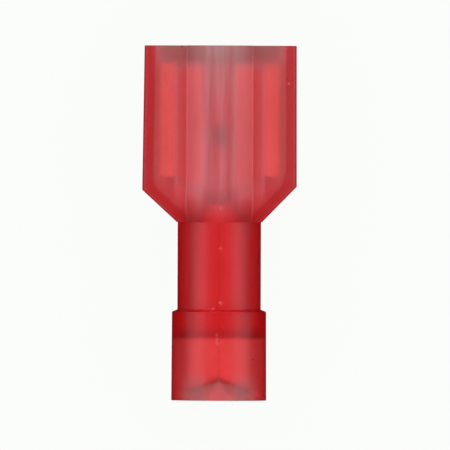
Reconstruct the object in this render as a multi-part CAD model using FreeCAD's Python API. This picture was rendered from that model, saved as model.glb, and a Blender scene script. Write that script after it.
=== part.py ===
# A fully insulated female spade connector for a 6.35 mm tab and thin hook-up wire.
# Three pieces: a moulded nylon housing, a folded brass terminal and a rolled crimp sleeve.
# It lies as it comes to rest: +Y is the mouth that the tab enters, +Z is up and X is its width.
# Lengths are in millimetres. Places along the part are counted from its wire end.
import FreeCAD, Part
import math
import os

# Tab that it takes
tab_width = 6.35
tab_thickness = 0.80

# Folded terminal
sheet = 0.40
tab_side_play = 0.175
roll_radius = 0.75
corner_radius = 0.40
tip_straight = 0.05
receptacle_length = 6.80
mouth_setback = 1.00
transition_length = 1.65
waist_width = 5.60
waist_bow_radius = 40.0
trough_angle = 190.0
waist_inset = 0.01
waist_sections = 4
curve_points = 7
wire_bore = 1.90
barrel_length = 6.30
seam_gap = 0.06
dimple_from_front = 4.30
dimple_sphere_radius = 1.00
dimple_rise = 0.28

# Rolled sleeve: it grips the barrel in front and holds the wire's insulation behind
sleeve_wall = 0.32
sleeve_play = 0.03
sleeve_setback = 0.45
insulation_bore = 3.60
bell_play = 0.03
bell_length = 3.50
flare_slope = 0.60
notch_depth = 1.09
notch_side_depth = 0.25
sleeve_rear_setback = 0.25

# Moulded housing
skirt_wall = 0.65
skirt_length = 5.28
skirt_draft = 0.025
step_length = 0.13
neck_wall = 0.69
neck_play = 0.09
neck_length = 5.20
left_taper_length = 1.90
right_taper_length = 2.11
roll_clearance = 0.58
head_wall = 0.62
head_play = 0.08
side_wall = 0.65
side_play = 0.19
left_draft = 0.11
right_draft = 0.03
edge_radius = 0.25
rib_width = 3.98
rib_roof = 0.66
rib_edge_radius = 0.30
channel_play = 0.05
junction_wall = 0.30

# Sizes that follow
half_sheet = sheet / 2
receptacle_half_width = tab_width / 2 + tab_side_play + sheet
receptacle_height = sheet + tab_thickness + tip_straight + roll_radius + half_sheet
base_middle = half_sheet - receptacle_height / 2
barrel_middle_radius = (wire_bore + sheet) / 2
barrel_radius = wire_bore / 2 + sheet
sleeve_inner_radius = barrel_radius + sleeve_play
sleeve_radius = sleeve_inner_radius + sleeve_wall
bell_inner_radius = insulation_bore / 2
bell_radius = bell_inner_radius + sleeve_wall
neck_bore_radius = sleeve_radius + neck_play
neck_radius = neck_bore_radius + neck_wall
skirt_bore_radius = bell_radius + bell_play
skirt_radius = skirt_bore_radius + skirt_wall
channel_radius = neck_bore_radius + channel_play
rib_half_height = channel_radius + rib_roof
cavity_half_height = receptacle_height / 2 + head_play
head_half_height = cavity_half_height + head_wall
shoulder_half_width = receptacle_half_width + side_play + side_wall

# Places along the part that follow
step_at = skirt_length + step_length
junction_at = step_at + neck_length
receptacle_rear = junction_at + max(left_taper_length, right_taper_length) + roll_clearance
receptacle_front = receptacle_rear + receptacle_length
mouth_at = receptacle_front + mouth_setback
head_length = mouth_at - junction_at
barrel_front = receptacle_rear - transition_length
barrel_rear = barrel_front - barrel_length
dimple_at = receptacle_front - dimple_from_front
sleeve_front = barrel_front - sleeve_setback
sleeve_rear = sleeve_rear_setback
flare_rear = sleeve_rear + bell_length
flare_front = flare_rear + (bell_radius - sleeve_radius) / flare_slope
funnel_rear = flare_rear - bell_play / flare_slope
funnel_front = funnel_rear + (skirt_bore_radius - neck_bore_radius) / flare_slope

# The part rests on the rear edge of its skirt
rest_radius = skirt_radius + skirt_draft
spare = 1.0


# A point of the part, from its place across, along and above its axis
def place(across, along, above):
    return FreeCAD.Vector(across, along - mouth_at / 2, above + rest_radius)


def blend(first, last, share):
    return first + (last - first) * share


def extrude(face, length):
    return face.extrude(FreeCAD.Vector(0, length, 0))


def box(low, high):
    size = high - low
    return Part.makeBox(size.x, size.y, size.z, low)


# A sheet seen end on at one place along the part. The centre line starts at (across, above) in the
# direction heading, and each move is a straight run or a bend to the left.
def folded_face(across, above, heading, moves, along, thickness):
    sides = {1: [], -1: []}
    ends = {}
    half = thickness / 2
    turn = math.radians(heading)

    def point(side, middle, angle):
        shift_across = -math.sin(angle) * half * side
        shift_above = math.cos(angle) * half * side
        return place(middle[0] + shift_across, along, middle[1] + shift_above)

    middle = (across, above)
    for side in sides:
        ends[side] = [point(side, middle, turn)]
    for kind, size, bend in moves:
        if kind == "run":
            after = (middle[0] + size * math.cos(turn), middle[1] + size * math.sin(turn))
            for side, edges in sides.items():
                line = Part.LineSegment(point(side, middle, turn), point(side, after, turn))
                edges.append(line.toShape())
            middle = after
            continue
        sweep = math.radians(bend)
        centre = (middle[0] - size * math.sin(turn), middle[1] + size * math.cos(turn))
        stops = []
        for share in (0.0, 0.5, 1.0):
            angle = turn + sweep * share
            spot = (centre[0] + size * math.sin(angle), centre[1] - size * math.cos(angle))
            stops.append((angle, spot))
        for side, edges in sides.items():
            edges.append(Part.Arc(*[point(side, spot, angle) for angle, spot in stops]).toShape())
        turn, middle = stops[-1]
    for side in sides:
        ends[side].append(point(side, middle, turn))
    caps = [Part.LineSegment(ends[1][i], ends[-1][i]).toShape() for i in (0, 1)]
    loop = sides[1] + [caps[1]] + sides[-1][::-1] + [caps[0]]
    return Part.Face(Part.Wire(loop))


# A tube that is rolled from sheet, with its butt seam on top
def rolled_face(middle_radius, thickness, along):
    gap_angle = math.degrees(seam_gap / middle_radius)
    start = math.radians(90 + gap_angle / 2)
    across = middle_radius * math.cos(start)
    above = middle_radius * math.sin(start)
    bend = ("bend", middle_radius, 360 - gap_angle)
    return folded_face(across, above, 180 + gap_angle / 2, [bend], along, thickness)


# Both rolled edges stand on a flat base and come down to the tab
def make_receptacle():
    side_height = tab_thickness + tip_straight - corner_radius + half_sheet
    base_width = 2 * (receptacle_half_width - half_sheet - corner_radius)
    tip_across = receptacle_half_width - half_sheet - 2 * roll_radius
    tip_above = base_middle + half_sheet + tab_thickness
    tip = ("run", tip_straight, 0)
    roll = ("bend", roll_radius, 180)
    side = ("run", side_height, 0)
    corner = ("bend", corner_radius, 90)
    base = ("run", base_width, 0)
    moves = [tip, roll, side, corner, base, corner, side, roll, tip]
    face = folded_face(-tip_across, tip_above, 90, moves, receptacle_rear, sheet)
    return extrude(face, receptacle_length)


# The waist of the sheet curls up from the flat base into the lower half of the barrel. It ends a hair
# thinner than the barrel's wall, so that no surface of one lies on a surface of the other.
def waist_wire(share):
    ease = share * share * (3 - 2 * share)
    radius = 1 / blend(1 / waist_bow_radius, 1 / barrel_middle_radius, ease)
    width = blend(waist_width, math.radians(trough_angle) * barrel_middle_radius, share)
    centre = blend(base_middle, -barrel_middle_radius, share) + radius
    along = blend(receptacle_rear, barrel_front, share)
    curves = []
    ends = []
    half = half_sheet - waist_inset * share
    for reach in (radius - half, radius + half):
        points = []
        for i in range(curve_points):
            angle = width / radius * (i / (curve_points - 1) - 0.5)
            points.append(place(reach * math.sin(angle), along, centre - reach * math.cos(angle)))
        curve = Part.BSplineCurve()
        curve.interpolate(points)
        curves.append(curve.toShape())
        ends.append((points[0], points[-1]))
    caps = [Part.LineSegment(ends[0][i], ends[1][i]).toShape() for i in (0, 1)]
    return Part.Wire([curves[0], caps[1], curves[1], caps[0]])


def make_transition():
    return Part.makeLoft([waist_wire(i / (waist_sections - 1)) for i in range(waist_sections)], True)


def make_terminal():
    barrel = extrude(rolled_face(barrel_middle_radius, sheet, barrel_rear), barrel_length)
    terminal = make_receptacle().fuse([make_transition(), barrel]).removeSplitter()
    crown = base_middle + half_sheet + dimple_rise - dimple_sphere_radius
    bump = Part.makeSphere(dimple_sphere_radius, place(0, dimple_at, crown))
    hollow = Part.makeSphere(dimple_sphere_radius, place(0, dimple_at, crown - sheet))
    keep = box(place(-spare, dimple_at - spare, base_middle), place(spare, dimple_at + spare, spare))
    return terminal.fuse(bump.common(keep)).cut(hollow).removeSplitter()


# The bell has a seam on top, and the clipped corners of its sheet leave a notch at the rear
def make_sleeve():
    turned = [
        (sleeve_radius, sleeve_front),
        (sleeve_radius, flare_front),
        (bell_radius, flare_rear),
        (bell_radius, sleeve_rear),
        (bell_inner_radius, sleeve_rear),
        (bell_inner_radius, flare_rear),
        (sleeve_inner_radius, flare_front),
        (sleeve_inner_radius, sleeve_front)]
    tube = revolve(turned)
    reach = bell_radius + spare
    half_gap = seam_gap / 2
    seam = box(place(-half_gap, sleeve_rear - spare, 0), place(half_gap, sleeve_front + spare, reach))
    side_at = sleeve_rear + notch_side_depth
    slope = (notch_depth - notch_side_depth) / bell_radius
    corners = [
        place(0, sleeve_rear + notch_depth, 0),
        place(reach, side_at - slope * spare, 0),
        place(reach, sleeve_rear - reach, 0),
        place(-reach, sleeve_rear - reach, 0),
        place(-reach, side_at - slope * spare, 0)]
    notch = Part.Face(Part.makePolygon(corners + corners[:1])).extrude(FreeCAD.Vector(0, 0, reach))
    return tube.cut([seam, notch])


# A solid turned about the part's own axis, from corners given as radius and place along
def revolve(corners):
    points = [place(radius, along, 0) for radius, along in corners]
    face = Part.Face(Part.makePolygon(points + points[:1]))
    return face.revolve(place(0, 0, 0), FreeCAD.Vector(0, 1, 0), 360)


# The plan of the head, from its mouth to where it meets the neck
def head_plan(half_neck, above):
    return [
        place(-(shoulder_half_width - left_draft), mouth_at, above),
        place(shoulder_half_width - right_draft, mouth_at, above),
        place(shoulder_half_width, junction_at + right_taper_length, above),
        place(half_neck, junction_at, above),
        place(-half_neck, junction_at, above),
        place(-shoulder_half_width, junction_at + left_taper_length, above)]


def make_head_block():
    corners = head_plan(neck_radius, -head_half_height)
    plan = Part.Face(Part.makePolygon(corners + corners[:1]))
    slab = plan.extrude(FreeCAD.Vector(0, 0, 2 * head_half_height))
    flank_edges = []
    for edge in slab.Edges:
        first, last = edge.Vertexes[0].Point, edge.Vertexes[-1].Point
        if abs(first.z - last.z) < 1e-6 and abs(first.y - last.y) > 1e-6:
            flank_edges.append(edge)
    slab = slab.makeFillet(edge_radius, flank_edges)
    half = rib_width / 2
    rib = box(place(-half, junction_at, -rib_half_height), place(half, mouth_at, rib_half_height))
    long_edges = [edge for edge in rib.Edges if abs(edge.Length - head_length) < 1e-6]
    return slab.fuse(rib.makeFillet(rib_edge_radius, long_edges))


# The hollow of the head keeps its side wall all the way down the tapers
def make_head_hollow():
    outer = head_plan(neck_radius, -cavity_half_height)
    longer = FreeCAD.Vector(0, 2 * spare, 0)
    ring = [outer[0] + longer, outer[1] + longer, outer[2], outer[3], outer[4], outer[5]]
    walled = Part.Face(Part.makePolygon(ring + ring[:1])).makeOffset2D(-side_wall, 2)
    hollow = walled.extrude(FreeCAD.Vector(0, 0, 2 * cavity_half_height))
    reach = shoulder_half_width + spare
    room = box(place(-reach, junction_at + junction_wall, -reach), place(reach, mouth_at + spare, reach))
    channel = Part.makeCylinder(
        channel_radius, head_length + spare, place(0, junction_at, 0), FreeCAD.Vector(0, 1, 0))
    return hollow.common(room).fuse(channel)


def make_housing():
    stem = revolve([
        (0, 0),
        (skirt_radius + skirt_draft, 0),
        (skirt_radius, skirt_length),
        (neck_radius, step_at),
        (neck_radius, junction_at + junction_wall),
        (0, junction_at + junction_wall)])
    wire_way = revolve([
        (0, -spare),
        (skirt_bore_radius, -spare),
        (skirt_bore_radius, funnel_rear),
        (neck_bore_radius, funnel_front),
        (neck_bore_radius, junction_at + spare),
        (0, junction_at + spare)])
    return make_head_block().fuse(stem).cut([make_head_hollow(), wire_way]).removeSplitter()


os.makedirs("parts", exist_ok=True)
make_housing().exportStep("parts/nylon_housing.step")
make_terminal().exportStep("parts/brass_terminal.step")
make_sleeve().exportStep("parts/crimp_sleeve.step")
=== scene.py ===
import bpy
import bmesh
import math
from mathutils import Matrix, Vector


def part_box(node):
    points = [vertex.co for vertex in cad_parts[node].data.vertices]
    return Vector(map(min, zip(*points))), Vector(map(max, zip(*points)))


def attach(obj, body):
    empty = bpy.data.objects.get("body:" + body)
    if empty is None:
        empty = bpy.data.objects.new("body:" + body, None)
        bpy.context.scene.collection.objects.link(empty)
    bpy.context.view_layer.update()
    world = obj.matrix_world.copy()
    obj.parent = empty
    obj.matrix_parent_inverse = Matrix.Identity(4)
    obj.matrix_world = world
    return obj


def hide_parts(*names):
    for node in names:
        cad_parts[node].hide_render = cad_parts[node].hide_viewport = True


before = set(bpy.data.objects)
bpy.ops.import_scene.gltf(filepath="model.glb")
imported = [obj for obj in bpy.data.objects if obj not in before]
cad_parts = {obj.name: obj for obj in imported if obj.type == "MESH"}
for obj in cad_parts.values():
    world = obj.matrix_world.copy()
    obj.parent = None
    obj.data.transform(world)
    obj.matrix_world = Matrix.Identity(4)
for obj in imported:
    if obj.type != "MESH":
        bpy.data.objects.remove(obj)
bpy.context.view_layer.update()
mm = 0.001

# where the part lies: its wire end, its mouth and the height of its axis
housingLow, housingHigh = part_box("nylon_housing")
wireEnd = housingLow.y / mm
mouthEnd = housingHigh.y / mm
axisHeight = (housingLow.z + housingHigh.z) / 2 / mm


# small helpers

def toLinear(hexColour):
    channels = [int(hexColour[i:i + 2], 16) / 255 for i in (0, 2, 4)]
    curve = [c / 12.92 if c <= 0.04045 else ((c + 0.055) / 1.055) ** 2.4 for c in channels]
    return (*curve, 1.0)


def blend(first, last, share):
    return first + (last - first) * share


def partPoint(across, along, above):
    return Vector((across * mm, (wireEnd + along) * mm, (axisHeight + above) * mm))


def addNode(nodes, links, kind, settings=None, inputs=None, feeds=None):
    node = nodes.new(kind)
    for name, value in (settings or {}).items():
        setattr(node, name, value)
    for name, value in (inputs or {}).items():
        if hasattr(value, "is_output"):
            links.new(value, node.inputs[name])
        else:
            node.inputs[name].default_value = value
    for output, socket in (feeds or {}).items():
        links.new(node.outputs[output], socket)
    return node


def smoothRamp(nodes, links, value, ends, low, high):
    return addNode(nodes, links, "ShaderNodeMapRange", {"interpolation_type": "SMOOTHSTEP"},
                   {"Value": value, "From Min": ends[0], "From Max": ends[1],
                    "To Min": low, "To Max": high}).outputs["Result"]


def mixColours(nodes, links, share, first, last):
    return addNode(nodes, links, "ShaderNodeMix", {"data_type": "RGBA"},
                   {"Factor": share, "A": first, "B": toLinear(last)}).outputs["Result"]


# a round spot: across, along, above and radius in mm; it fades between two shares of its radius
def roundSpot(nodes, links, place, spot, edges, strength):
    across, along, above, radius = spot
    away = addNode(nodes, links, "ShaderNodeVectorMath", {"operation": "DISTANCE"},
                   {0: place, 1: partPoint(across, along, above)}).outputs["Value"]
    fade = (radius * edges[0] * mm, radius * edges[1] * mm)
    return smoothRamp(nodes, links, away, fade, strength, 0.0)


def startMaterial(name):
    material = bpy.data.materials.new(name)
    material.use_nodes = True
    nodes, links = material.node_tree.nodes, material.node_tree.links
    nodes.clear()
    output = nodes.new("ShaderNodeOutputMaterial")
    return material, nodes, links, output


def finishMesh(bm, name, smoothDegrees):
    bmesh.ops.recalc_face_normals(bm, faces=bm.faces)
    mesh = bpy.data.meshes.new(name)
    bm.to_mesh(mesh)
    bm.free()
    mesh.polygons.foreach_set("use_smooth", [True] * len(mesh.polygons))
    mesh.set_sharp_from_angle(angle=math.radians(smoothDegrees))
    return mesh


def newPiece(name, mesh, material, node):
    mesh.materials.append(material)
    piece = bpy.data.objects.new(name, mesh)
    bpy.context.scene.collection.objects.link(piece)
    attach(piece, "root")
    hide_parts(node)
    return piece


# materials

# small pale marks on the skin: across, along, above, radius and strength
paleMarks = [
    (0.06, 11.42, 2.50, 0.09, 0.22), (0.03, 9.05, 2.48, 0.09, 0.25), (0.05, 5.82, 2.48, 0.10, 0.35),
    (-0.36, 5.44, 2.50, 0.10, 0.30), (-0.14, 3.90, 2.80, 0.12, 0.20), (-0.12, 3.65, 2.80, 0.12, 0.20),
    (-0.08, 3.40, 2.80, 0.12, 0.16), (-1.78, 1.90, 2.16, 0.08, 0.30), (4.10, 18.85, 1.80, 0.08, 0.25),
    (-2.30, 5.32, 1.35, 0.12, 0.30), (-2.05, 5.32, 1.70, 0.12, 0.30), (1.75, 10.10, 1.76, 0.09, 0.20),
]

# specks of dirt: across, along, above and radius
dirtMarks = [(2.02, 2.44, 1.94, 0.09), (-2.26, 21.05, 1.80, 0.10)]

nylonLook = {
    "body": "FFCECE",          # the small share of light that the cloudy plastic scatters back
    "wing": "FFF2F0",          # the thin flat walls of the head are the clearest
    "neck": "F5A2AA",          # the neck and the collar behind it are the deepest
    "sheenGrey": "D8BEB4",          # painted grey sheen over the rib, the mouth and the wire end
    "glow": "FF8B86",          # painted light: a lighter red on the rib's feet and under the sleeve's notch
    "dirt": "6A3A3C",
    "filter": "F93953",        # what the red dye lets through
    "dyeDensity": 1650.0,      # per metre: a wall of 0.65 mm is clear enough to see the metal
    # strengths of painted light: grey sheen on the rib, the mouth and the wire end, a highlight on the rib's
    # edges, and a lighter red glow
    "hazeAndPaintedLight": 0.009, "ribSheen": 0.15, "mouthSheen": 0.11, "ribEdgeHighlight": 0.08, "rearSheen": 0.05, "paintedGlowWeight": 0.25,
    "ribRearShare": 0.90, "ribFrontShare": 0.25, "ribSheenGreyShare": 0.2, "fullSheenGrey": 0.11,
    "mouthNearShare": 0.8, "mouthFarShare": 0.2, "notchPaintedGlow": 0.80, "notchSlope": 0.75,
    "markHaze": 0.5, "markEdges": (0.2, 1.2), "dirtCover": 0.7, "dirtEdges": (0.3, 1.0), "streaks": 0.35,
    "streakWidth": 0.55, "streakLength": 9, "cloudSize": 1.6, "noiseRange": (0.3, 0.7),
    "smoothest": 0.33, "roughest": 0.39, "headFrost": 0.12, "index": 1.42,
}

# first and last mm of each change from one zone to the next, measured off the part's middle
acrossZones = {
    "ribSide": (1.0, 2.1), "mouthSide": (3.1, 4.2), "rearInner": (0.6, 1.2), "rearOuter": (1.9, 2.5),
    "footInner": (0.5, 1.3), "footOuter": (2.40, 2.85), "wing": (1.9, 2.2),
    "rightWall": (3.4, 4.0), "ribEdge": (0.03, 0.08), "notch": (0.30, 1.20),
}

# the same, measured along the part from its wire end
alongZones = {
    "ribRear": (10.0, 13.5), "ribFront": (16.5, 19.0), "mouthNear": (19.6, 21.1), "mouthFar": (17.6, 20.0),
    "edgeRear": (10.6, 12.0), "wireEnd": (0.9, 1.9), "footRear": (11.4, 13.4), "footFront": (19.4, 20.4),
    "neckRear": (3.5, 3.9), "neckFront": (10.6, 11.6), "wing": (12.5, 13.5), "frost": (10.4, 11.0),
}


def mouldedNylon():
    # polyamide 6.6, injection moulded and dyed through: clear in thin walls, deep red edge on;
    # painted grey sheen lies over the rib, the mouth and the wire end, on the rib in streaks along the flow
    material, nodes, links, output = startMaterial("moulded_nylon_red")
    look = nylonLook

    def ramp(value, ends, low, high):
        return smoothRamp(nodes, links, value, ends, low, high)

    def combine(operation, *values):
        return addNode(nodes, links, "ShaderNodeMath", {"operation": operation},
                       dict(enumerate(values))).outputs["Value"]

    def product(first, second):
        return combine("MULTIPLY", first, second)

    def noise(coordinates, scale, roughness):
        return addNode(nodes, links, "ShaderNodeTexNoise", {},
                       {"Vector": coordinates, "Scale": scale, "Detail": 3.0,
                        "Roughness": roughness}).outputs["Fac"]

    place = addNode(nodes, links, "ShaderNodeTexCoord").outputs["Object"]
    axes = addNode(nodes, links, "ShaderNodeSeparateXYZ", {}, {"Vector": place})
    offMiddle = combine("ABSOLUTE", axes.outputs["X"])

    def across(zone, low, high, value=offMiddle):
        first, last = acrossZones[zone]
        return ramp(value, (first * mm, last * mm), low, high)

    def along(zone, low, high):
        first, last = alongZones[zone]
        return ramp(axes.outputs["Y"], ((wireEnd + first) * mm, (wireEnd + last) * mm), low, high)

    width, length = look["streakWidth"] * mm, look["streakLength"] * mm
    streakScale = (1 / width, 1 / length, 1 / width)
    flow = addNode(nodes, links, "ShaderNodeMapping", {}, {"Vector": place, "Scale": streakScale})
    streak = noise(flow.outputs["Vector"], 1.0, 0.6)
    cloud = noise(place, 1 / (look["cloudSize"] * mm), 0.55)

    # painted grey sheen over the rib in flow streaks, over the mouth and at the wire end, and a painted
    # highlight along the rib's edges
    alongRib = combine("ADD", along("ribRear", 0.0, look["ribRearShare"]),
                       along("ribFront", 0.0, look["ribFrontShare"]))
    ribSheen = product(product(across("ribSide", 1.0, 0.0), alongRib),
                      ramp(streak, look["noiseRange"], look["ribSheen"] * (1 - look["streaks"]),
                           look["ribSheen"] * (1 + look["streaks"])))
    mouthSheen = product(across("mouthSide", 1.0, 0.0),
                        combine("ADD", along("mouthNear", 0.0, look["mouthSheen"] * look["mouthNearShare"]),
                                along("mouthFar", 0.0, look["mouthSheen"] * look["mouthFarShare"])))
    # a painted highlight in a thin line along both edges of the rib, from the head's rear onward
    offEdge = combine("ABSOLUTE", combine("SUBTRACT", offMiddle, housing["ribHalfWidth"] * mm))
    ribEdgeHighlight = product(across("ribEdge", look["ribEdgeHighlight"], 0.0, offEdge), along("edgeRear", 0.0, 1.0))
    besideMiddle = product(across("rearInner", 0.0, 1.0), across("rearOuter", 1.0, 0.0))
    rearSheen = product(besideMiddle, along("wireEnd", look["rearSheen"], 0.0))

    # painted light: a lighter red on both feet of the rib, and on the skirt under the sleeve's notch
    besideRib = product(across("footInner", 0.0, 1.0), across("footOuter", 1.0, 0.0))
    alongFoot = product(along("footRear", 0.0, 1.0), along("footFront", 1.0, 0.0))
    fromRear = combine("SUBTRACT", axes.outputs["Y"], wireEnd * mm)
    fromNotch = combine("MULTIPLY_ADD", fromRear, look["notchSlope"], offMiddle)
    atNotch = across("notch", look["notchPaintedGlow"], 0.0, fromNotch)
    paintedGlowShare = combine("MULTIPLY_ADD", besideRib, alongFoot, atNotch)

    # the even haze of the moulding, none in the neck, and in the right wall a painted sheen as strong again
    inNeck = product(along("neckRear", 0.0, 1.0), along("neckFront", 1.0, 0.0))
    rightWallSheen = across("rightWall", 0.0, look["hazeAndPaintedLight"], axes.outputs["X"])
    evenHazeAndRightSheen = combine("ADD", rightWallSheen, combine("SUBTRACT", look["hazeAndPaintedLight"], product(inNeck, look["hazeAndPaintedLight"])))
    paintedSheenAndHighlight = combine("ADD", combine("ADD", ribSheen, mouthSheen), combine("ADD", ribEdgeHighlight, rearSheen))
    # the haze with the painted sheen, highlight and glow added, all taken from the transmission
    hazeAndPaintedLight = combine("MULTIPLY_ADD", paintedGlowShare, look["paintedGlowWeight"], combine("ADD", paintedSheenAndHighlight, evenHazeAndRightSheen))
    for *spot, strength in paleMarks:
        hazeAndPaintedLight = combine("ADD", hazeAndPaintedLight, roundSpot(nodes, links, place, spot, look["markEdges"],
                                              strength * look["markHaze"]))

    inWing = product(across("wing", 0.0, 1.0), along("wing", 0.0, 1.0))
    # the painted sheen also turns the colour grey
    sheenGreyAmount = combine("MULTIPLY_ADD", ribSheen, look["ribSheenGreyShare"], combine("ADD", mouthSheen, rearSheen))
    dirt = 0.0
    for spot in dirtMarks:
        dirt = combine("ADD", dirt, roundSpot(nodes, links, place, spot, look["dirtEdges"],
                                              look["dirtCover"]))
    sheenGreyShare = ramp(sheenGreyAmount, (0.0, look["fullSheenGrey"]), 0.0, 1.0)
    colour = toLinear(look["body"])
    # colour layers: neck, wing, painted grey sheen, painted glow and dirt
    layers = ((inNeck, "neck"), (inWing, "wing"), (sheenGreyShare, "sheenGrey"), (paintedGlowShare, "glow"), (dirt, "dirt"))
    for share, tint in layers:
        colour = mixColours(nodes, links, share, colour, look[tint])

    # the head's part of the mould was sparked coarser than the neck's
    skin = combine("ADD", along("frost", 0.0, look["headFrost"]),
                   ramp(cloud, look["noiseRange"], look["smoothest"], look["roughest"]))
    addNode(nodes, links, "ShaderNodeBsdfPrincipled", {},
            {"Base Color": colour, "IOR": look["index"], "Roughness": skin,
             "Transmission Weight": combine("SUBTRACT", 1.0, hazeAndPaintedLight)},
            {"BSDF": output.inputs["Surface"]})
    addNode(nodes, links, "ShaderNodeVolumeAbsorption", {},
            {"Color": toLinear(look["filter"]), "Density": look["dyeDensity"]},
            {"Volume": output.inputs["Volume"]})
    return material


metalLook = {
    "tin": "F5EDD4",
    "tinDark": "DED2B5",
    "notchShade": "976653",          # painted shade along the notch's cut edge, a dark brass brown
    "dimpleDark": "665C50",          # a darker round spot over the dimple in the base
    "grainWidth": 0.05,        # rolling marks run along the strip, drawn this wide in mm
    "grainLength": 2.5, "stainSize": 2.2,
    "grainRange": (0.3, 0.7), "bump": 0.25, "bumpHeight": 0.01,
    "dimpleDarkSpot": (0.0, 15.80, -0.7, 0.90), "dimpleDarkEdges": (0.4, 1.0), "dimpleDarkCover": 0.8,
    "terminalSkin": (0.40, 0.50), "sleeveSkin": (0.45, 0.55),
}


def tinnedBrass(name, skin, dimpled=False, paintedNotchShade=False):
    # brass strip with a thin matt tin plating: pale warm grey, soft reflections, fine rolling marks
    material, nodes, links, output = startMaterial(name)
    look = metalLook
    place = addNode(nodes, links, "ShaderNodeTexCoord").outputs["Object"]
    fine, coarse = 1 / look["grainWidth"], 1 / look["grainLength"]
    stretch = addNode(nodes, links, "ShaderNodeMapping", {},
                      {"Vector": place, "Scale": Vector((fine, coarse, fine)) / mm})
    grain = addNode(nodes, links, "ShaderNodeTexNoise", {},
                    {"Vector": stretch.outputs["Vector"], "Scale": 1.0, "Detail": 4.0})
    stain = addNode(nodes, links, "ShaderNodeTexNoise", {},
                    {"Vector": place, "Scale": 1 / (look["stainSize"] * mm), "Detail": 3.0})
    colour = mixColours(nodes, links, stain.outputs["Fac"], toLinear(look["tin"]), look["tinDark"])
    if dimpled:
        # a darker round spot over the dimple
        dimpleDark = roundSpot(nodes, links, place, look["dimpleDarkSpot"], look["dimpleDarkEdges"], look["dimpleDarkCover"])
        colour = mixColours(nodes, links, dimpleDark, colour, look["dimpleDark"])
    # painted shade along the notch's cut edge
    if paintedNotchShade:
        edge = addNode(nodes, links, "ShaderNodeAttribute", {"attribute_name": "painted_notch_shade"})
        colour = mixColours(nodes, links, edge.outputs["Fac"], colour, look["notchShade"])
    low, high = look["grainRange"]
    polish = addNode(nodes, links, "ShaderNodeMapRange", {},
                     {"Value": grain.outputs["Fac"], "From Min": low, "From Max": high,
                      "To Min": skin[0], "To Max": skin[1]})
    marks = addNode(nodes, links, "ShaderNodeBump", {},
                    {"Height": grain.outputs["Fac"], "Strength": look["bump"],
                     "Distance": look["bumpHeight"] * mm})
    addNode(nodes, links, "ShaderNodeBsdfPrincipled", {},
            {"Base Color": colour, "Metallic": 1.0, "Roughness": polish.outputs["Result"],
             "Normal": marks.outputs["Normal"]},
            {"BSDF": output.inputs["Surface"]})
    return material


# the moulded housing, in three runs of rings: the head from the neck to the mouth, the cavity from the
# mouth to the bore, and the neck and skirt out to the wire end and back through the bore

housing = {
    "skirtRadius": 2.80, "skirtDraft": 0.025, "skirtBore": 2.15, "skirtLength": 5.28,
    "stepLength": 0.13, "neckRadius": 2.48, "neckBore": 1.79, "neckLength": 5.20,
    "funnelRear": 3.70, "funnelFront": 4.30,
    "headHalfHeight": 1.80, "cavityHalfHeight": 1.18, "sideWall": 0.65,
    "shoulderHalfWidth": 4.59, "leftDraft": 0.11, "rightDraft": 0.03,
    "leftTaper": 1.90, "rightTaper": 2.11, "junctionWall": 0.30,
    "ribHalfWidth": 1.99, "ribHalfHeight": 2.50, "ribEdge": 0.10, "edge": 0.25,
    "channelHeight": 1.84, "channelHalfWidth": 1.75,
    "softening": 0.035,        # tiny round on every moulded edge
    "lip": 0.05,               # the head stands this much wider than the neck where they meet
    "partingAcross": 0.10, "partingWidth": 0.05, "partingRise": 0.006,
    "roundSteps": 144, "crestDegrees": 14, "crestHalfWidth": 0.5, "speckReach": 0.6,
    "edgeSteps": 5, "ribEdgeSteps": 6, "flatSteps": 6, "channelSteps": 18,
    "partingShifts": (0.6, 1.0, 1.6, 3.0, 5.0), "crestShares": (0.35, 0.5, 0.65, 0.8),
    # how far apart the rings of points stand
    "shoulderStep": 0.3, "headStep": 0.6, "cavityStep": 0.8, "neckStep": 0.5, "boreStep": 1.2,
    "skirtRings": (4.0, 2.6, 1.2), "skirtBoreRings": (1.0, 2.4), "boreFrom": 5.0,
    "speckShifts": (-0.12, -0.08, -0.04, 0.0, 0.04, 0.08, 0.12),
    "smoothDegrees": 28,
}
stepAt = housing["skirtLength"] + housing["stepLength"]
junctionAt = stepAt + housing["neckLength"]
mouthAt = mouthEnd - wireEnd
leftShoulderAt = junctionAt + housing["leftTaper"]
rightShoulderAt = junctionAt + housing["rightTaper"]

# flash specks along the parting line: across, along, size and rise
flashSpecks = [(0.12, 11.42, 0.10, 0.05), (0.09, 9.03, 0.09, 0.04), (0.12, 5.82, 0.10, 0.05),
               (-0.33, 5.44, 0.10, 0.06)]


def partingRise(across, along):
    line = max(0.0, 1 - abs(across - housing["partingAcross"]) / housing["partingWidth"])
    rise = housing["partingRise"] * line
    for speckAcross, speckAlong, size, height in flashSpecks:
        away = math.hypot(across - speckAcross, along - speckAlong) / size
        rise += height * max(0.0, 1 - away * away)
    return rise


def outerHalfWidth(along, side):
    shoulderAt = rightShoulderAt if side > 0 else leftShoulderAt
    draft = housing["rightDraft"] if side > 0 else housing["leftDraft"]
    if along <= shoulderAt:
        share = (along - junctionAt) / (shoulderAt - junctionAt)
        return blend(housing["neckRadius"] + housing["lip"], housing["shoulderHalfWidth"], share)
    share = (along - shoulderAt) / (mouthAt - shoulderAt)
    return housing["shoulderHalfWidth"] - draft * share


def innerHalfWidth(along, side):
    taper = housing["rightTaper"] if side > 0 else housing["leftTaper"]
    spread = (housing["shoulderHalfWidth"] - housing["neckRadius"]) / taper
    wallAcross = housing["sideWall"] * math.hypot(1, spread)
    sloped = housing["neckRadius"] + spread * (along - junctionAt) - wallAcross
    shoulderAt = junctionAt + taper
    straight = outerHalfWidth(max(along, shoulderAt), side) - housing["sideWall"]
    return min(sloped, straight)


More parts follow.
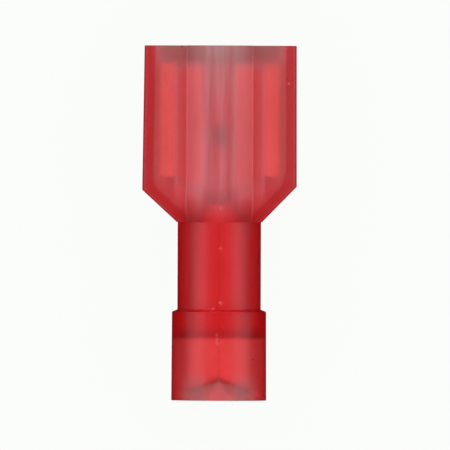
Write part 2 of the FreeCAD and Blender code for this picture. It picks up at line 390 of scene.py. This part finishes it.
def arcPoints(centreAcross, centreAbove, radius, first, last, steps):
    points = []
    for i in range(steps + 1):
        angle = math.radians(blend(first, last, i / steps))
        points.append((centreAcross + radius * math.cos(angle), centreAbove + radius * math.sin(angle)))
    return points


def lineAcross(first, last, above, steps):
    return [(blend(first, last, i / steps), above) for i in range(1, steps)]


def topPoints(halfCrest):
    spots = {0.0, housing["partingAcross"]}
    for shift in housing["partingShifts"]:
        spots.add(housing["partingAcross"] + shift * housing["partingWidth"])
        spots.add(housing["partingAcross"] - shift * housing["partingWidth"])
    for share in housing["crestShares"]:
        spots.update((halfCrest * share, -halfCrest * share))
    return sorted(spots, reverse=True)


def closeOutline(upper):
    lower = [(across, -above) for across, above in upper[-2:0:-1]]
    return upper + lower


# half of a section, from the right side over the top to the left side; the lower half mirrors it
def headOutline(along):
    height, edge, steps = housing["headHalfHeight"], housing["edge"], housing["edgeSteps"]
    ribSide, ribTop = housing["ribHalfWidth"], housing["ribHalfHeight"]
    ribEdge, ribSteps = housing["ribEdge"], housing["ribEdgeSteps"]
    ribWall = (height + ribTop - ribEdge) / 2
    right, left = outerHalfWidth(along, 1), outerHalfWidth(along, -1)
    upper = [(right, share * (height - edge)) for share in (0.0, 0.25, 0.5, 0.75)]
    upper += arcPoints(right - edge, height - edge, edge, 0, 90, steps)
    upper += lineAcross(right - edge, ribSide, height, housing["flatSteps"])
    upper += [(ribSide, height), (ribSide, ribWall)]
    upper += arcPoints(ribSide - ribEdge, ribTop - ribEdge, ribEdge, 0, 90, ribSteps)
    upper += [(across, ribTop) for across in topPoints(ribSide - ribEdge)]
    upper += arcPoints(ribEdge - ribSide, ribTop - ribEdge, ribEdge, 90, 180, ribSteps)
    upper += [(-ribSide, ribWall), (-ribSide, height)]
    upper += lineAcross(-ribSide, edge - left, height, housing["flatSteps"])
    upper += arcPoints(edge - left, height - edge, edge, 90, 180, steps)
    upper += [(-left, share * (height - edge)) for share in (0.75, 0.5, 0.25, 0.0)]
    return closeOutline(upper)


# the cavity, with a shallow wave in its roof for the barrel's roots
def cavityOutline(along):
    height, reach, steps = housing["cavityHalfHeight"], housing["channelHalfWidth"], housing["channelSteps"]
    rise = housing["channelHeight"] - height
    right, left = innerHalfWidth(along, 1), innerHalfWidth(along, -1)
    upper = [(right, share * height) for share in (0.0, 0.35, 0.7, 1.0)]
    upper += lineAcross(right, reach, height, housing["flatSteps"])
    for i in range(2 * steps + 1):
        across = reach * (1 - i / steps)
        upper.append((across, height + rise * math.cos(math.pi / 2 * across / reach) ** 2))
    upper += lineAcross(-reach, -left, height, housing["flatSteps"])
    upper += [(-left, share * height) for share in (1.0, 0.7, 0.35, 0.0)]
    return closeOutline(upper)


def roundOutline(radius):
    upper = [(across, math.sqrt(radius * radius - across * across))
             for across in topPoints(housing["crestHalfWidth"])]
    for i in range(housing["roundSteps"] // 2 + 1):
        degrees = i * 360 / housing["roundSteps"]
        if abs(degrees - 90) > housing["crestDegrees"]:
            angle = math.radians(degrees)
            upper.append((radius * math.cos(angle), radius * math.sin(angle)))
    upper.sort(key=lambda point: -point[0])
    return closeOutline(upper)


def insetOutline(outline, inset):
    count = len(outline)
    moved = []
    for i in range(count):
        before, after = Vector(outline[i - 1]), Vector(outline[(i + 1) % count])
        run = (after - before).normalized()
        moved.append((outline[i][0] - run.y * inset, outline[i][1] + run.x * inset))
    return moved


def addRing(bm, outline, along, risen):
    ring = []
    for across, above in outline:
        if risen and above > 0 and abs(across) < housing["speckReach"]:
            above += partingRise(across, along)
        ring.append(bm.verts.new(partPoint(across, along, above)))
    return ring


def joinRings(bm, first, second):
    count = len(first)
    for i in range(count):
        after = (i + 1) % count
        bm.faces.new((first[i], first[after], second[after], second[i]))


def fillBetween(bm, first, second):
    edges = []
    for ring in (first, second):
        for i, vert in enumerate(ring):
            edge = bm.edges.get((vert, ring[(i + 1) % len(ring)]))
            edges.append(edge or bm.edges.new((vert, ring[(i + 1) % len(ring)])))
    bmesh.ops.triangle_fill(bm, use_beauty=True, use_dissolve=False, edges=edges)


def finerPlaces(places, specksAlong):
    finer = set(places)
    for middle in specksAlong:
        for shift in housing["speckShifts"]:
            if places[0] < middle + shift < places[-1]:
                finer.add(middle + shift)
    return sorted(finer)


def evenPlaces(first, last, step):
    count = max(1, round(abs(last - first) / step))
    return [blend(first, last, i / count) for i in range(count + 1)]


# quarter round at an edge: how far the surface is pulled in, and how far along
def softSteps(softening):
    steps = []
    for degrees in (0, 30, 60, 90):
        angle = math.radians(degrees)
        steps.append((softening * (1 - math.cos(angle)), softening * (1 - math.sin(angle))))
    return steps


# a rounded corner of a turned profile, as points of radius and place along
def softCorner(before, corner, after, soft):
    corner = Vector(corner)
    first = corner + (Vector(before) - corner).normalized() * soft
    last = corner + (Vector(after) - corner).normalized() * soft
    points = []
    for i in range(5):
        share = i / 4
        points.append(tuple((first.lerp(corner, share)).lerp(corner.lerp(last, share), share)))
    return points


def makeHousingMesh():
    bm = bmesh.new()
    soft = housing["softening"]
    rounds = softSteps(soft)[1:]
    specksAlong = [speck[1] for speck in flashSpecks]

    # head, from the junction to the mouth
    headRear, headFront = headOutline(junctionAt + soft), headOutline(mouthAt - soft)
    headPlaces = evenPlaces(junctionAt + soft, rightShoulderAt, housing["shoulderStep"])
    headPlaces += [leftShoulderAt] + evenPlaces(rightShoulderAt, mouthAt - soft, housing["headStep"])[1:]
    headPlaces = finerPlaces(sorted(headPlaces), specksAlong)
    headRings = [addRing(bm, insetOutline(headRear, pulled), junctionAt + short, True)
                 for pulled, short in reversed(rounds)]
    headRings += [addRing(bm, headOutline(along), along, True) for along in headPlaces]
    headRings += [addRing(bm, insetOutline(headFront, pulled), mouthAt - short, True)
                  for pulled, short in rounds]

    # cavity, from the mouth to the bore
    cavityFront = cavityOutline(mouthAt - soft)
    cavityPlaces = evenPlaces(junctionAt + housing["junctionWall"], rightShoulderAt, housing["shoulderStep"])
    cavityPlaces += evenPlaces(rightShoulderAt, mouthAt - soft, housing["cavityStep"])[1:]
    cavityRings = [addRing(bm, insetOutline(cavityFront, -pulled), mouthAt - short, False)
                   for pulled, short in reversed(rounds)]
    cavityRings += [addRing(bm, cavityOutline(along), along, False) for along in reversed(cavityPlaces)]

    # neck and skirt, from the junction to the wire end
    neckRadius, skirtRadius = housing["neckRadius"], housing["skirtRadius"]
    skirtLength = housing["skirtLength"]
    rearRadius = skirtRadius + housing["skirtDraft"]
    neckPlaces = finerPlaces(evenPlaces(stepAt, junctionAt, housing["neckStep"]), specksAlong)
    outerProfile = [(neckRadius, along) for along in reversed(neckPlaces)]
    outerProfile += softCorner((neckRadius, stepAt), (skirtRadius, skirtLength), (rearRadius, 0.0), soft)
    outerProfile += [(blend(rearRadius, skirtRadius, along / skirtLength), along)
                     for along in housing["skirtRings"]]
    outerProfile += softCorner((rearRadius, soft * 2), (rearRadius, 0.0), (housing["skirtBore"], 0.0), soft)
    stemRings = [addRing(bm, roundOutline(radius), along, True) for radius, along in outerProfile]

    # the bore, back to the cavity
    skirtBore, neckBore, boreRings = housing["skirtBore"], housing["neckBore"], housing["skirtBoreRings"]
    funnelRear, funnelFront = (skirtBore, housing["funnelRear"]), (neckBore, housing["funnelFront"])
    innerProfile = softCorner((rearRadius, 0.0), (skirtBore, 0.0), (skirtBore, boreRings[0]), soft)
    innerProfile += [(skirtBore, along) for along in boreRings]
    innerProfile += softCorner((skirtBore, boreRings[-1]), funnelRear, funnelFront, soft)
    innerProfile += softCorner(funnelRear, funnelFront, (neckBore, junctionAt), soft)
    borePlaces = evenPlaces(housing["boreFrom"], junctionAt + housing["junctionWall"], housing["boreStep"])
    innerProfile += [(neckBore, along) for along in borePlaces]
    stemRings += [addRing(bm, roundOutline(radius), along, False) for radius, along in innerProfile]

    for rings in (headRings, cavityRings, stemRings):
        for first, second in zip(rings, rings[1:]):
            joinRings(bm, first, second)
    fillBetween(bm, headRings[-1], cavityRings[0])
    fillBetween(bm, headRings[0], stemRings[0])
    fillBetween(bm, cavityRings[-1], stemRings[-1])
    return finishMesh(bm, "nylon_housing_moulding", housing["smoothDegrees"])


# both metal pieces: faces are shaded as one surface up to the first angle, edges are rounded from the second
sheetSmoothDegrees = 40
sheetEdgeDegrees = 50


# the folded terminal: one sheet, laid out as rows along the part and columns across the strip

terminal = {
    "sheet": 0.40, "halfWidth": 3.75, "height": 2.20, "rollRadius": 0.75, "cornerRadius": 0.40,
    "tipStraight": 0.05, "tabThickness": 0.80, "front": 20.10, "rear": 13.30,
    "waistWidth": 5.60, "waistBow": 40.0, "troughAngle": 190.0, "barrelFront": 11.65, "barrelRear": 5.35,
    "barrelMiddle": 1.15, "seamGap": 0.002, "dimpleAt": 15.80, "dimpleRise": 0.28, "dimpleSphere": 1.0,
    "baseColumns": 24, "wrapColumns": 18, "softening": 0.02,
    "cornerSteps": 6, "wallSteps": 4, "rollSteps": 20,
    "rowStep": 0.14, "waistShares": (0.05, 0.95, 0.06), "barrelStep": 0.6,
}
baseMiddle = terminal["sheet"] / 2 - terminal["height"] / 2


def receptacleSection():
    # right half of the centre line, from the middle of the base to the tip of the rolled edge
    side = terminal["halfWidth"] - terminal["sheet"] / 2
    corner, roll = terminal["cornerRadius"], terminal["rollRadius"]
    flat = side - corner
    points = [(flat * i / terminal["baseColumns"], baseMiddle) for i in range(terminal["baseColumns"] + 1)]
    points += arcPoints(flat, baseMiddle + corner, corner, -90, 0, terminal["cornerSteps"])[1:]
    rollMiddle = baseMiddle + terminal["sheet"] / 2 + terminal["tabThickness"] + terminal["tipStraight"]
    wallStart = baseMiddle + corner
    wallSteps = terminal["wallSteps"]
    points += [(side, blend(wallStart, rollMiddle, i / wallSteps)) for i in range(1, wallSteps)]
    points += arcPoints(side - roll, rollMiddle, roll, 0, 180, terminal["rollSteps"])
    points.append((side - 2 * roll, rollMiddle - terminal["tipStraight"]))
    return points


def dimpleRise(across, along):
    away = math.hypot(across, along - terminal["dimpleAt"])
    radius = terminal["dimpleSphere"]
    if away >= radius:
        return 0.0
    return max(0.0, math.sqrt(radius * radius - away * away) - (radius - terminal["dimpleRise"]))


def makeTerminalMesh():
    rows = []
    half = receptacleSection()
    baseColumns = terminal["baseColumns"]
    for along in evenPlaces(terminal["front"], terminal["rear"], terminal["rowStep"]):
        row = {}
        for column, (across, above) in enumerate(half):
            lift = dimpleRise(across, along) if column <= baseColumns else 0.0
            row[column] = (across, along, above + lift)
            row[-column] = (-across, along, above + lift)
        rows.append(row)
    troughWidth = math.radians(terminal["troughAngle"]) * terminal["barrelMiddle"]
    for share in evenPlaces(*terminal["waistShares"]):
        ease = share * share * (3 - 2 * share)
        radius = 1 / blend(1 / terminal["waistBow"], 1 / terminal["barrelMiddle"], ease)
        width = blend(terminal["waistWidth"], troughWidth, share)
        centre = blend(baseMiddle, -terminal["barrelMiddle"], share) + radius
        along = blend(terminal["rear"], terminal["barrelFront"], share)
        row = {}
        for column in range(-baseColumns, baseColumns + 1):
            angle = width / radius * column / (2 * baseColumns)
            row[column] = (radius * math.sin(angle), along, centre - radius * math.cos(angle))
        rows.append(row)
    radius = terminal["barrelMiddle"]
    halfTrough = math.radians(terminal["troughAngle"]) / 2
    halfGap = terminal["seamGap"] / 2 / radius
    for along in evenPlaces(terminal["barrelFront"], terminal["barrelRear"], terminal["barrelStep"]):
        row = {}
        for column in range(baseColumns + terminal["wrapColumns"] + 1):
            angle = halfTrough * column / baseColumns
            if column > baseColumns:
                share = (column - baseColumns) / terminal["wrapColumns"]
                angle = blend(halfTrough, math.pi - halfGap, share)
            row[column] = (radius * math.sin(angle), along, -radius * math.cos(angle))
            row[-column] = (-radius * math.sin(angle), along, -radius * math.cos(angle))
        rows.append(row)
    return makeSheetMesh("brass_terminal_folded", rows, terminal["sheet"])


# gives a sheet its thickness: each row holds the centre line as across, along and above by column
def makeSheetMesh(name, rows, thickness):
    bm = bmesh.new()
    faces = {1: [], -1: []}
    for row in rows:
        for side in faces:
            faces[side].append({})
        for column, (across, along, above) in row.items():
            before = row.get(column - 1, row[column])
            after = row.get(column + 1, row[column])
            run = Vector((after[0] - before[0], after[2] - before[2])).normalized()
            for side in faces:
                shift = side * thickness / 2
                point = partPoint(across - run.y * shift, along, above + run.x * shift)
                faces[side][-1][column] = bm.verts.new(point)
    rims = {}
    for number in range(len(rows) - 1):
        for column in rows[number]:
            corners = [(number, column), (number, column + 1),
                       (number + 1, column + 1), (number + 1, column)]
            if not all(place[1] in rows[place[0]] for place in corners):
                continue
            bm.faces.new([faces[1][i][c] for i, c in corners])
            bm.faces.new([faces[-1][i][c] for i, c in reversed(corners)])
            for i in range(4):
                edge = (corners[i], corners[(i + 1) % 4])
                if rims.pop(edge[::-1], None) is None:
                    rims[edge] = True
    for first, last in rims:
        loop = [faces[1][last[0]][last[1]], faces[1][first[0]][first[1]],
                faces[-1][first[0]][first[1]], faces[-1][last[0]][last[1]]]
        bm.faces.new(loop)
    bmesh.ops.delete(bm, geom=[vert for vert in bm.verts if not vert.link_faces], context="VERTS")
    return finishMesh(bm, name, sheetSmoothDegrees)


def softenEdges(piece, softening):
    edges = piece.modifiers.new("sheared_edges", "BEVEL")
    edges.width = softening * mm
    edges.segments = 2
    edges.limit_method = "ANGLE"
    edges.angle_limit = math.radians(sheetEdgeDegrees)
    edges.harden_normals = True


# the rolled sleeve: its bell has a seam on top and a notched rear edge

sleeve = {
    "wall": 0.32, "radius": 1.70, "bellRadius": 2.12, "front": 11.20, "rear": 0.25,
    "flareRear": 3.75, "flareFront": 4.45, "notchDepth": 0.85, "notchSide": 0.25, "seamGap": 0.002,
    "columns": 96, "softening": 0.012, "bellStart": 3.3, "evenTo": 2.0, "rearRows": 10,
    "flareRound": 0.30, "gripStep": 0.8, "bellStep": 0.6, "notchEase": 0.12,
    # how wide the painted shade reaches from the notch's edge at its middle and at its sides, and how far
    # out
    "shadeMiddle": 0.42, "shadeSide": 0.15, "shadeSideAt": 1.8, "shadeEndsAt": 2.2,
}


def sleeveRear(across, above):
    if above <= 0:
        return sleeve["rear"]
    share = min(1.0, abs(across) / sleeve["bellRadius"])
    depth = blend(sleeve["notchDepth"], sleeve["notchSide"], share)
    return sleeve["rear"] + depth * min(1.0, above / sleeve["notchEase"])


def makeSleeveMesh():
    halfWall = sleeve["wall"] / 2
    bell, grip = sleeve["bellRadius"] - halfWall, sleeve["radius"] - halfWall
    soft = sleeve["flareRound"]
    flareFront, flareRear = (grip, sleeve["flareFront"]), (bell, sleeve["flareRear"])
    gripPlaces = evenPlaces(sleeve["front"], sleeve["flareFront"] + soft, sleeve["gripStep"])
    bellPlaces = evenPlaces(sleeve["bellStart"], sleeve["evenTo"], sleeve["bellStep"])
    profile = [(grip, along) for along in gripPlaces]
    profile += softCorner((grip, sleeve["front"]), flareFront, flareRear, soft)
    profile += softCorner(flareFront, flareRear, (bell, sleeve["rear"]), soft)
    profile += [(bell, along) for along in bellPlaces]
    profile += [(bell, None)] * sleeve["rearRows"]
    rows = []
    for number, (radius, along) in enumerate(profile):
        share = (number + 1 + sleeve["rearRows"] - len(profile)) / sleeve["rearRows"]
        row = {}
        for column in range(sleeve["columns"] + 1):
            halfGap = sleeve["seamGap"] / 2 / radius
            angle = blend(math.pi / 2 + halfGap, math.pi * 2.5 - halfGap, column / sleeve["columns"])
            across, above = radius * math.cos(angle), radius * math.sin(angle)
            spot = along
            if spot is None:
                spot = blend(sleeve["evenTo"], sleeveRear(across, above), share)
            row[column] = (across, spot, above)
        rows.append(row)
    mesh = makeSheetMesh("crimp_sleeve_rolled", rows, sleeve["wall"])
    # painted shade: a band along the notch's upper edge, widest in the middle, fading towards the sides
    notchShade = mesh.attributes.new("painted_notch_shade", "FLOAT", "POINT")
    for vert, value in zip(mesh.vertices, notchShade.data):
        across, along, above = vert.co.x / mm, vert.co.y / mm - wireEnd, vert.co.z / mm - axisHeight
        if above > 0:
            toSide = min(1, abs(across) / sleeve["shadeSideAt"])
            band = blend(sleeve["shadeMiddle"], sleeve["shadeSide"], toSide)
            fromEdge = (along - sleeveRear(across, above)) / band
            inside = max(0.0, 1 - abs(across) / sleeve["shadeEndsAt"])
            value.value = max(0.0, 1 - fromEdge * fromEdge) * inside
    return mesh


redNylon = mouldedNylon()
brassTin = tinnedBrass("tinned_brass_strip", metalLook["terminalSkin"], dimpled=True)
sleeveTin = tinnedBrass("tinned_sleeve_strip", metalLook["sleeveSkin"], paintedNotchShade=True)
print("materials ready")

newPiece("nylon_housing_moulding", makeHousingMesh(), redNylon, "nylon_housing")
print("housing ready")
terminalPiece = newPiece("brass_terminal_folded", makeTerminalMesh(), brassTin,
                         "brass_terminal")
softenEdges(terminalPiece, terminal["softening"])
print("terminal ready")
sleevePiece = newPiece("crimp_sleeve_rolled", makeSleeveMesh(), sleeveTin,
                       "crimp_sleeve")
softenEdges(sleevePiece, sleeve["softening"])
print("sleeve ready")


# floor, light and camera

studio = {
    "floorSize": 4.0, "floorGrey": "303030", "seenWhite": 0.95, "seenThrough": 0.66, "seenTint": "FDFFFC",
    "sky": [(0.05, 0.2), (0.38, 1.75), (0.74, 1.55), (0.94, 0.05)], "skyTint": (0.98, 0.95, 1.10),
    "skyThrough": 1.4,
    "lampWatts": 0.3, "lampSize": 0.95, "lampHeight": 1.3,
}
view = {
    "widthShown": 26.786, "across": 0.336, "along": 10.44, "distance": 1.00, "lean": 0.22,
    "sensor": 36.0,
}


def makeFloor():
    bm = bmesh.new()
    half = studio["floorSize"] / 2
    corners = [bm.verts.new((x * half, y * half, 0)) for x, y in ((-1, -1), (1, -1), (1, 1), (-1, 1))]
    bm.faces.new(corners)
    mesh = bpy.data.meshes.new("floor")
    bm.to_mesh(mesh)
    bm.free()
    material, nodes, links, output = startMaterial("white_floor")
    paint = addNode(nodes, links, "ShaderNodeBsdfDiffuse", {}, {"Color": toLinear(studio["floorGrey"])})
    path = addNode(nodes, links, "ShaderNodeLightPath")
    direct = addNode(nodes, links, "ShaderNodeMath", {"operation": "MULTIPLY"},
                     {0: path.outputs["Is Camera Ray"], 1: studio["seenWhite"]})
    strength = addNode(nodes, links, "ShaderNodeMath", {"operation": "MULTIPLY_ADD"},
                       {0: path.outputs["Is Transmission Ray"], 1: studio["seenThrough"],
                        2: direct.outputs["Value"]})
    glow = addNode(nodes, links, "ShaderNodeEmission", {},
                   {"Color": toLinear(studio["seenTint"]), "Strength": strength.outputs["Value"]})
    addNode(nodes, links, "ShaderNodeAddShader", {},
            {0: paint.outputs["BSDF"], 1: glow.outputs["Emission"]}, {"Shader": output.inputs["Surface"]})
    mesh.materials.append(material)
    floor = bpy.data.objects.new("floor", mesh)
    bpy.context.scene.collection.objects.link(floor)


def makeWorld():
    world = bpy.data.worlds.new("studio")
    bpy.context.scene.world = world
    world.use_nodes = True
    nodes, links = world.node_tree.nodes, world.node_tree.links
    nodes.clear()
    output = nodes.new("ShaderNodeOutputWorld")
    place = addNode(nodes, links, "ShaderNodeTexCoord")
    axes = addNode(nodes, links, "ShaderNodeSeparateXYZ", {}, {"Vector": place.outputs["Generated"]})
    bands = addNode(nodes, links, "ShaderNodeValToRGB", {}, {"Fac": axes.outputs["Z"]})
    bands.color_ramp.interpolation = "EASE"
    stops = bands.color_ramp.elements
    while len(stops) < len(studio["sky"]):
        stops.new(0.5)
    for stop, (height, strength) in zip(stops, studio["sky"]):
        stop.position = height
        stop.color = (*(strength * share for share in studio["skyTint"]), 1)
    path = addNode(nodes, links, "ShaderNodeLightPath")
    through = [studio["skyThrough"] * share for share in studio["skyTint"]]
    sky = addNode(nodes, links, "ShaderNodeMix", {"data_type": "RGBA", "clamp_factor": True},
                  {"Factor": path.outputs["Is Transmission Ray"], "A": bands.outputs["Color"],
                   "B": (*through, 1)})
    addNode(nodes, links, "ShaderNodeBackground", {}, {"Color": sky.outputs["Result"], "Strength": 1.0},
            {"Background": output.inputs["Surface"]})


def makeLamp():
    lamp = bpy.data.lights.new("softbox", "AREA")
    lamp.shape = "SQUARE"
    lamp.size = studio["lampSize"]
    lamp.energy = studio["lampWatts"]
    holder = bpy.data.objects.new("softbox", lamp)
    holder.location = (0, 0, studio["lampHeight"])
    bpy.context.scene.collection.objects.link(holder)


def makeCamera():
    lens = bpy.data.cameras.new("camera")
    lens.sensor_width = view["sensor"]
    lens.lens = view["sensor"] * view["distance"] / (view["widthShown"] * mm)
    lens.clip_start = 0.01
    camera = bpy.data.objects.new("camera", lens)
    target = partPoint(view["across"], view["along"], 0)
    camera.location = target + Vector((0, 0, view["distance"]))
    camera.rotation_euler = (0, 0, math.radians(view["lean"]))
    bpy.context.scene.collection.objects.link(camera)
    bpy.context.scene.camera = camera


makeFloor()
makeWorld()
makeLamp()
makeCamera()
bpy.context.scene.view_settings.view_transform = "Standard"
print("studio ready")
